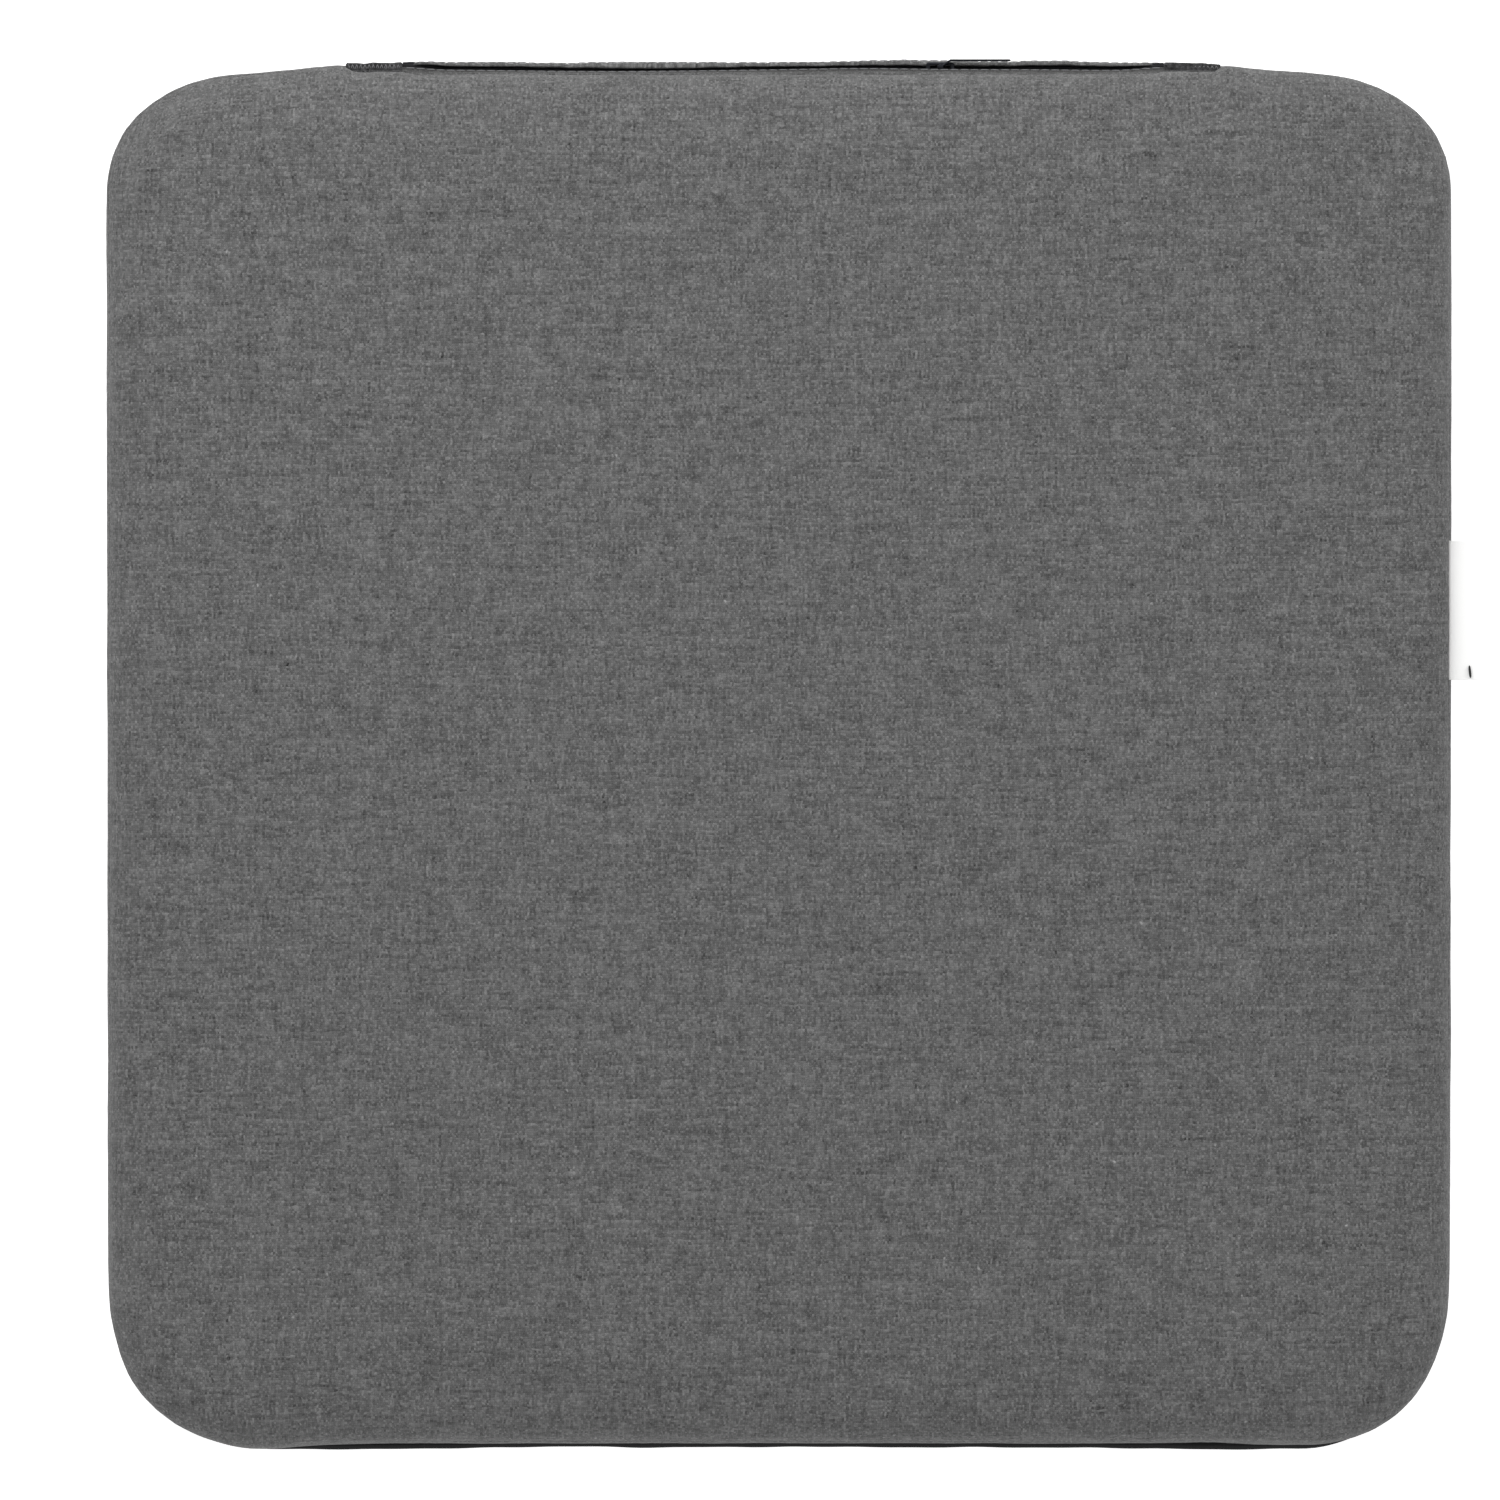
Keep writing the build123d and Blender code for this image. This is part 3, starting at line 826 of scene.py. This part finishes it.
def bar(
    name, section, x, material, stands_for, shift=None, rise=None, soften=0.0, shade=None
):
    """A closed (y, z) section carried along x, moved by shift(x) outwards and rise(x) upwards.
    soften draws the section in over its first and last stations, which rounds the ends. shade
    gives the cloth's painted light and shade from a point's x, y and z."""
    section = np.asarray(section)
    centre = section.mean(0)
    from_end = np.minimum(x - x[0], x[-1] - x)
    size = np.ones_like(x)
    if soften:
        t = np.clip(from_end / soften, 0, 1)
        size = 1 - 0.16 * (1 - np.sqrt(1 - (1 - t) ** 2))
    yz = centre + (section - centre)[None] * size[:, None, None]
    if shift is not None:
        yz[..., 0] += shift(x[:, None], section[None, :, 0], section[None, :, 1])
    if rise is not None:
        yz[..., 1] += rise(x[:, None], section[None, :, 0], section[None, :, 1])
    points = np.concatenate([np.broadcast_to(x[:, None, None], (*yz.shape[:2], 1)), yz], -1)
    n = len(section)
    faces = quads(len(x), n, closed=True)
    turned = np.cross(section - centre, np.roll(section, -1, 0) - centre).sum() > 0
    if turned:
        faces = faces[:, ::-1]
    ends = [np.arange(n), np.arange(n)[::-1] + (len(x) - 1) * n]
    if turned:
        ends = [e[::-1] for e in ends]
    around_section = np.append(0, np.cumsum(np.linalg.norm(np.diff(section, axis=0), axis=1)))
    uv = np.stack(np.broadcast_arrays(x[:, None], around_section[None]), -1)
    return piece(
        name, points, faces.tolist() + [e.tolist() for e in ends], material, uv=uv,
        shade=None if shade is None else shade(*np.moveaxis(points, -1, 0)), stands_for=stands_for,
    )


# The edges along the zip wander: place along the zip, width of the bump and its height outwards,
# in mm. The slider pushes the rolled lip out beside it.
lip_outer_bumps = [(-66, 14, -0.3), (-9, 12, -0.15), (38, 20, 0.6), (78, 12, 0.3), (116, 12, -0.3)]
lip_inner_bumps = [(-107, 10, 0.5), (-42, 26, -0.6), (30, 22, 0.42), (78, 26, 0.3), (110, 8, 0.2)]
strip_bumps = [(-50, 40, -0.55), (24, 20, 0.35), (97, 14, -0.2)]


def bumps(x, table):
    """Sum of smooth bumps along x, read from a table in mm."""
    return sum(height * MM * hump(x, middle * MM, width * MM) for middle, width, height in table)


def lip_wave(x, y, z):
    """Move outwards of the lower strip: nothing at the tape, and its own at each edge of the lip."""
    near_outer = step(y, lip_inner, lip_inner + 0.9 * MM)
    outward = step(y, rear - 1 * MM, lip_inner)
    ends = step(np.minimum(x - window_left, window_right - x), 0, 8 * MM)
    small = 0.07 * MM * slow_waves(x, 0 * x, 31, 9 * MM, 40 * MM, 7) * ends
    inner, outer = bumps(x, lip_inner_bumps), bumps(x, lip_outer_bumps)
    return outward * (inner + near_outer * (outer - inner) + small)


def lip_sink(x, y, z):
    """The lip sinks towards both ends of the zip, where the tape runs up over it."""
    from_end = np.minimum(x - window_left, window_right - x)
    return -2.4 * MM * (1 - step(from_end, 0, 12 * MM)) * step(z, opening_low - 3 * MM, opening_low)


def tape_over(x, y, z):
    """The lower tape's outer edge follows the lip, and covers it at both ends of the zip."""
    from_end = np.minimum(x - window_left, window_right - x)
    over = 1.15 * MM * (1 - step(from_end, 0, 12 * MM)) * step(y, rear, lip_inner - 0.2 * MM)
    return lip_wave(x, y, z) + over


def tape_rise(x, y, z):
    """The rise that takes the tape's outer edge over the sunken lip."""
    from_end = np.minimum(x - window_left, window_right - x)
    return 2.2 * MM * (1 - step(from_end, 0, 12 * MM)) * step(y, rear, lip_inner - 0.2 * MM)


def strip_roll(x, y, z):
    """The upper strip's lower edge wanders, and rolls further out towards both ends of the zip."""
    from_end = np.minimum(x - window_left, window_right - x)
    lower = step(-z, -rim_seam, 1.5 * MM - rim_seam) * step(y, rear - cloth, rear)
    return (strip_end_bulge * (1 - step(from_end, 0, 14 * MM)) + bumps(x, strip_bumps)) * lower


def strip_wave(x, y, z):
    """Unevenness of the upper strip's folded edge."""
    return 0.12 * MM * slow_waves(x, 0 * x, 32, 10 * MM, 60 * MM, 7)


def zip_strips():
    """The cloth strips on both sides of the zip. The lower one runs out over a gutter into a
    rolled lip; the upper one comes down from the rim and folds in to the tape."""
    floor = lower_low.z
    lower = rounded([
        (tape_front, floor), (lower_high.y, floor), (lower_high.y, opening_low),
        (lip_inner, opening_low), (lip_inner, floor + cloth), (tape_front, floor + cloth),
    ], 0.55 * MM)
    bar(
        "lower_zip_strip", lower, stations, heather, ["zip_strip_lower"],
        lip_wave, lip_sink,
        # Painted highlight: the lip's top edge is drawn paler.
        shade=lambda x, y, z: lip_painted_highlight * step(z, opening_low - 1.4 * MM, opening_low - 0.4 * MM),
    )
    seam = rear - zip_set_in
    upper = rounded([
        (seam - cloth, rim_seam), (seam - 0.1 * MM, rim_seam),
        (rear + strip_bulge, opening_high + 2.2 * cloth), (rear + strip_bulge, opening_high),
        (tape_front, opening_high), (tape_front, opening_high + cloth),
        (seam - cloth, opening_high + cloth),
    ], 0.6 * MM)
    bar(
        "upper_zip_strip", upper, stations, heather, ["zip_strip_upper"], strip_roll,
        rise=lambda x, y, z: strip_wave(x, y, z) * step(z, rim_seam, opening_high + 1 * MM),
        # Painted shade: the strip is drawn darker down its slope to the fold.
        shade=lambda x, y, z: strip_painted_shade * step(-z, -rim_seam - 0.8 * MM, 2.6 * MM - rim_seam),
    )


def end_tabs():
    """Folded tabs over the zip's two ends, with a bulge as high as the lip. Their darker cloth is painted
    shade.
    """
    for side, (low, high) in (("left", tab_left), ("right", tab_right)):
        reach = high.y - tab_set_in[side]
        section = rounded([
            (low.y, low.z), (reach, low.z), (reach, opening_low),
            (rear + 0.2 * MM, opening_low + 0.5 * MM), (rear, rim_seam), (low.y, rim_seam),
        ], 0.8 * MM)
        x = np.linspace(low.x, high.x, 41)
        lean = tab_lean[side]

        def wander(x, y, z):
            ripple = 0.10 * MM * slow_waves(x, z, len(side), 4 * MM, 14 * MM, 6)
            beside_lip = step(-abs(x), -zip_right, -window_right)
            return ripple + lean * beside_lip * step(y, rear, rear + 1 * MM)

        bar(
            f"zip_end_tab_{side}_fold", section, x, tab_painted_shade_heather, [f"zip_end_tab_{side}"],
            wander, soften=0.5 * MM,
        )


def zip_tapes():
    """Woven tapes. The lower one turns out over the gutter's floor, up to the lip."""
    thick = tape_high.y - tape_low.y
    back = tape_low.y
    x = np.linspace(zip_left, zip_right, 261)
    gap = tape_high.z
    floor = lower_low.z + cloth + 0.05 * MM
    lower = rounded([
        (back, gap), (back, floor), (lip_inner - 0.1 * MM, floor),
        (lip_inner - 0.1 * MM, floor + thick), (tape_front + 0.3 * MM, floor + thick), (tape_front, gap),
    ], 0.25 * MM, 4)
    bar(
        "lower_zip_tape", lower, np.linspace(window_left, window_right, 261), tape_weave,
        ["zip_tape_lower"], tape_over, tape_rise,
    )
    low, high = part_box("zip_tape_upper")
    upper = rounded([(low.y, low.z), (high.y, low.z), (high.y, high.z), (low.y, high.z)], 0.2 * MM, 3)
    bar("upper_zip_tape", upper, x, tape_weave, ["zip_tape_upper"])


def tube(path, radius, away, sides=7):
    """A round wire along a path of points: rings square to the tangent, which start from the
    direction away from the helix's axis."""
    tangent = np.gradient(path, axis=0)
    tangent /= np.linalg.norm(tangent, axis=1, keepdims=True)
    across = away - (away * tangent).sum(1, keepdims=True) * tangent
    across /= np.linalg.norm(across, axis=1, keepdims=True)
    other = np.cross(tangent, across)
    angle = np.arange(sides) * 2 * np.pi / sides
    ring = across[:, None] * np.cos(angle)[None, :, None] + other[:, None] * np.sin(angle)[None, :, None]
    return path[:, None] + radius * ring


def zip_coils():
    """Nylon coils: each row is a flattened helix along x, one turn to each 1.2 mm. The two rows'
    heads reach just past the zip's middle, half a pitch apart, so that they mesh."""
    pitch, wire, overlap = 1.2 * MM, 0.27 * MM, 0.25 * MM
    for name, side in (("upper", 1), ("lower", -1)):
        low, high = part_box(f"zip_coil_{name}")
        turns = int((high.x - low.x) / pitch)
        angle = np.linspace(0, 2 * np.pi * turns, turns * 12 + 1)
        head = zip_middle - side * overlap
        root = high.z if side > 0 else low.z
        x = low.x + wire + (high.x - low.x - 2 * wire) * angle / angle[-1]
        y = (low.y + high.y) / 2 + ((high.y - low.y) / 2 - wire) * np.cos(angle)
        z = (head + root) / 2 + (abs(root - head) / 2 - wire) * np.sin(angle)
        away = np.stack([0 * x, np.cos(angle), np.sin(angle)], -1)
        points = tube(np.stack([x, y, z], -1), wire, away)
        sides = points.shape[1]
        faces = quads(len(x), sides, closed=True)
        caps = [np.arange(sides)[::-1].tolist(), (np.arange(sides) + (len(x) - 1) * sides).tolist()]
        piece(
            f"{name}_zip_coil", points, faces.tolist() + caps, nylon,
            stands_for=[f"zip_coil_{name}"],
        )


def beads(starts, ends, radius, flat=0.7):
    """Plump stitches from starts to ends, lying on faces that look towards +Y or, where up is
    given by the stitch's own line, beside it: each is a capsule whose radius falls off towards
    both ends, pressed flat."""
    u = np.array([-1, -0.93, -0.7, -0.35, 0, 0.35, 0.7, 0.93, 1])
    sides = 8
    angle = np.arange(sides) * 2 * np.pi / sides
    size = radius * np.clip(1 - abs(u) ** 3.2, 0, 1) ** 0.5
    middle, half = (starts + ends) / 2, (ends - starts) / 2
    length = np.linalg.norm(half, axis=-1, keepdims=True)
    line = half / length
    first = np.cross(line, [0.0, 0.3, 1.0])
    first /= np.linalg.norm(first, axis=-1, keepdims=True)
    second = np.cross(line, first)
    ring = (
        np.cos(angle)[None, None, :, None] * first[:, None, None]
        * flat + np.sin(angle)[None, None, :, None] * second[:, None, None]
    )
    points = (
        middle[:, None, None] + u[None, :, None, None] * half[:, None, None]
        + size[None, :, None, None] * ring
    )
    faces = quads(len(u), sides, closed=True)
    shift = (np.arange(len(starts)) * len(u) * sides)[:, None, None]
    along = u[None, :, None] * length[:, :, None]
    uv = np.stack(np.broadcast_arrays(along, (angle * radius)[None, None]), -1)
    return points, (faces[None] + shift).reshape(-1, 4), uv


def thread_piece(name, starts, ends, radius, node):
    """A mesh of separate stitches that stands for a CAD node of stitches."""
    points, faces, uv = beads(starts, ends, radius)
    piece(name, points, faces, thread, uv=uv, stands_for=[node], weld=True)


def topstitches():
    """Two rows of lockstitch, one on the upper strip and one on the lip, and they follow the
    cloth's unevenness."""
    pitch, half = 3.0 * MM, 1.25 * MM
    for node, name, out in (
        ("topstitch_upper", "upper_topstitch", strip_bulge), ("topstitch_lower", "lower_topstitch", 0)
    ):
        low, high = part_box(node)
        count = int(round((high.x - low.x + 0.6 * MM) / pitch))
        x = np.linspace(low.x + 1.2 * MM, high.x - 1.2 * MM, count)
        z = np.full_like(x, (low.z + high.z) / 2)
        y = low.y + (0.62 * out + strip_roll(x, rear, z) if out else lip_wave(x, lower_high.y, z))
        middle = np.stack([x, y, z], -1)
        step_along = np.array([half, 0, 0])
        thread_piece(name, middle - step_along, middle + step_along, 0.3 * MM, node)


def bartacks():
    """Zigzag thread over both zip ends: a dense bar across the zip beside the window, and a wide
    row over the top of each tab's bulge."""
    low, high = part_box("zip_bartacks")
    starts, ends = [], []
    for x0, x1 in ((low.x, low.x + 1.6 * MM), (high.x - 1.6 * MM, high.x)):
        z = np.linspace(low.z + 0.3 * MM, high.z - 0.3 * MM, 24)
        side = np.where(np.arange(24) % 2, x0, x1)
        path = np.stack([side, np.full_like(z, low.y + 0.1 * MM), z], -1)
        starts.append(path[:-1])
        ends.append(path[1:])
    for tab, set_in in ((tab_left, tab_set_in["left"]), (tab_right, tab_set_in["right"])):
        x = np.arange(tab[0].x + 0.8 * MM, tab[1].x - 0.6 * MM, 0.62 * MM)
        out = np.where(np.arange(len(x)) % 2, rear + 0.5 * MM, tab[1].y - set_in - 0.5 * MM)
        path = np.stack([x, out, np.full_like(x, opening_low + 0.12 * MM)], -1)
        starts.append(path[:-1])
        ends.append(path[1:])
    thread_piece("end_bartacks", np.concatenate(starts), np.concatenate(ends), 0.2 * MM, "zip_bartacks")


def finer(node, name, material, body, width, segments=2):
    """A copy of a CAD node with its points joined and its sharp edges rounded."""
    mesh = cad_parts[node].data.copy()
    mesh.name = name
    merge(mesh)
    shape = bmesh.new()
    shape.from_mesh(mesh)
    bmesh.ops.dissolve_limit(shape, angle_limit=math.radians(1), verts=shape.verts, edges=shape.edges)
    shape.to_mesh(mesh)
    shape.free()
    mesh.materials.clear()
    mesh.materials.append(material)
    mesh.shade_smooth()
    made = bpy.data.objects.new(name, mesh)
    bpy.context.scene.collection.objects.link(made)
    round_over = made.modifiers.new("rounded edges", "BEVEL")
    round_over.width = width
    round_over.segments = segments
    round_over.limit_method = "ANGLE"
    round_over.angle_limit = math.radians(35)
    round_over.harden_normals = True
    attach(made, body)
    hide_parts(node)
    return made


# ---- Labels and foam ----------------------------------------------------------------------

def side_label():
    """Folded blank label under the rim seam: one strip of satin out to a round fold at the free
    edge and back, drooping a little, with its rear end pulled further out."""
    length = label_high.y - label_low.y
    reach = label_high.x - label_low.x
    half_gap = 0.2 * MM
    t = np.linspace(0, 1, 22)
    bend = np.linspace(np.pi / 2, -np.pi / 2, 9)[1:-1]
    out = np.concatenate([t * (reach - half_gap), reach - half_gap + half_gap * np.cos(bend), t[::-1] * (reach - half_gap)])
    side = np.concatenate([np.full(22, half_gap), half_gap * np.sin(bend), np.full(22, -half_gap)])
    share = np.concatenate([[0, 0.004], np.linspace(0.03, 0.97, 31), [0.996, 1]])
    y = label_low.y + length * share
    far = out / reach
    lean = math.tan(math.radians(5.5)) * length * (share - 1)
    x = label_low.x - 0.7 * MM + out[None] + lean[:, None] * far[None]
    droop = 1.0 * MM * far[None] ** 2 + 0.5 * MM * np.sin(np.pi * share)[:, None] * far[None] ** 2
    z = (label_low.z + label_high.z) / 2 + side[None] - droop
    points = np.stack(np.broadcast_arrays(x, y[:, None], z), -1)
    uv = np.stack(np.broadcast_arrays(y[:, None], out[None]), -1)
    made = piece(
        "side_label_strip", points, quads(len(y), len(out)), satin,
        uv=uv, stands_for=["side_label"],
    )
    thicken(made, 0.15 * MM, 0)
    label_tack()


def label_tack():
    """Short black tack through the label's front corner: a tapered bead of thread."""
    x, y = label_low.x + 5.6 * MM, label_low.y + 0.5 * MM
    z = (label_low.z + label_high.z) / 2 + 0.25 * MM
    start, end = np.array([[x + 0.25 * MM, y, z]]), np.array([[x - 0.15 * MM, y + 3.8 * MM, z]])
    points, faces, uv = beads(start, end, 0.75 * MM, 0.5)
    piece("label_front_tack", points, faces, black_thread, uv=uv, weld=True)


def care_label():
    """Small blank label behind the zip tapes."""
    low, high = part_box("care_label")
    x, z = np.meshgrid(np.linspace(low.x, high.x, 17), np.linspace(low.z, high.z, 17), indexing="ij")
    y = high.y - 0.1 * MM - 0.25 * MM * (1 - np.cos((x - low.x) * 2 * np.pi / (high.x - low.x))) / 2
    made = piece(
        "care_label_strip", np.stack([x, y, z], -1), quads(17, 17), satin,
        uv=np.stack([x, z], -1), stands_for=["care_label"],
    )
    thicken(made, 0.2 * MM, 0)


def relieved(points):
    """Foam points drawn in to the space behind the zip that the foam leaves free."""
    x, y, z = np.moveaxis(points, -1, 0)
    back = rear - 8 * MM
    beside = step(np.minimum(x - zip_left, zip_right - x), -4 * MM, -0.6 * MM)
    mask = beside * step(-z, -32 * MM, -28.6 * MM)
    points[..., 1] = y - np.maximum(y - back, 0) * mask
    return points


def foam_block(name, node, outside, ring, z_cut, material):
    """A closed foam slab: a wrapped outer surface, and a flat cut face whose points are the
    outer surface's last ring, drawn in towards the middle."""
    count = outside.shape[0]
    reach, s = square_grid(count, 1.0)
    rim = ring(s)
    flat = rim * reach[..., None]
    flat[..., 2] = z_cut + (rim[..., 2] - z_cut) * step(reach, 0.9, 1)
    points = relieved(np.stack([outside, flat]))
    up = quads(count, count)
    down = up[:, ::-1]
    faces = np.concatenate([up, down + count * count] if outside[..., 2].max() > z_cut + MM else [down, up + count * count])
    made = piece(name, points, faces, material, stands_for=[node], weld=True)


def foam_blocks():
    """Soft slab under the kneeling face, and the firm slab under it."""
    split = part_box("support_foam")[1].z
    count = 121

    def soft(k, s):
        points, normal, _ = grey_cover(k, s)
        return points - foam_gap * normal

    run = rim_run + rim_seam - split
    foam_block(
        "comfort_foam_block", "comfort_foam", soft(*square_grid(count, run)),
        lambda s: soft(np.full(s.shape, run), s), split, soft_foam,
    )
    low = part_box("support_foam")[0].z
    inset, radius = 2.3 * MM, 5 * MM
    section = profile([
        (half_width, low), *arc((inset + radius, low + radius), radius, 270, 180), (inset, split),
    ])

    def firm(k, s):
        points, _, _ = shell(section, k, s)
        wall = step(k, section[0][-1] - 40 * MM, section[0][-1] - 12 * MM)
        points[..., :2] += around(s)[1] * (outline_bulge(s) * wall)[..., None]
        return points

    foam_block(
        "support_foam_block", "support_foam", firm(*square_grid(count, section[0][-1])),
        lambda s: firm(np.full(s.shape, section[0][-1]), s), split, firm_foam,
    )


# ---- Studio -------------------------------------------------------------------------------

def camera():
    """A long lens straight above the pad, a little left of its middle."""
    height = 8.0
    view_width = 446.6 * MM
    data = bpy.data.cameras.new("camera")
    data.sensor_width = 36
    data.lens = 36 * (height - rim_seam) / view_width
    data.clip_end = 100
    made = bpy.data.objects.new("camera", data)
    made.location = (-8.7 * MM, 2.3 * MM, height)
    bpy.context.scene.collection.objects.link(made)
    bpy.context.scene.camera = made


def light(name, place, size, power, aim=(0, 0, 0)):
    """A square soft box that faces the pad and doesn't show in the picture."""
    data = bpy.data.lights.new(name, "AREA")
    data.shape = "SQUARE"
    data.size = size
    data.energy = power
    made = bpy.data.objects.new(name, data)
    made.location = place
    direction = made.location.copy()
    direction -= type(direction)(aim)
    made.rotation_euler = direction.to_track_quat("Z", "Y").to_euler()
    made.visible_camera = False
    bpy.context.scene.collection.objects.link(made)


def studio():
    """Pale floor that glows a little, as a light table does, and soft light from the rear left."""
    scene = bpy.context.scene
    scene.view_settings.view_transform = "Standard"
    world = bpy.data.worlds.new("surroundings")
    world.use_nodes = True
    shade = world.node_tree.nodes["Background"]
    shade.inputs[0].default_value = (1, 1, 1, 1)
    shade.inputs[1].default_value = 0.70
    scene.world = world
    material, _, _ = blank(
        "pale_studio_floor", Roughness=0.9, Base_Color=linear("#f4f4f4"),
        Emission_Color=(1, 1, 1, 1), Emission_Strength=0.7,
    )
    size = 30.0
    mesh = bpy.data.meshes.new("floor")
    corners = [(-size, -size, 0), (size, -size, 0), (size, size, 0), (-size, size, 0)]
    mesh.from_pydata(corners, [], [(0, 1, 2, 3)])
    mesh.materials.append(material)
    floor = bpy.data.objects.new("floor", mesh)
    scene.collection.objects.link(floor)
    floor.visible_diffuse = False  # its glow doesn't light the pad's sides
    light("rear_softbox", (-0.4, 0.85, 0.8), 0.7, 7.4)
    light("right_strip_softbox", (0.95, 0.65, 0.4), 0.5, 2.7)
    light("front_strip_softbox", (0.0, -1.1, 0.22), 0.5, 1.0)


camera()
studio()
foam_blocks()
top_cover()
side_cover()
base_cover()
grip_dots()
zip_strips()
end_tabs()
zip_tapes()
zip_coils()
topstitches()
bartacks()
finer("zip_top_stops", "top_stop_clamps", gunmetal, "pad", 0.2 * MM)
finer("zip_bottom_stop", "bottom_stop_clamp", gunmetal, "pad", 0.2 * MM)
finer("slider_body", "slider", gunmetal, "slider", 0.15 * MM)
finer("pull_tab", "slider_pull", gunmetal, "pull", 0.18 * MM)
side_label()
care_label()
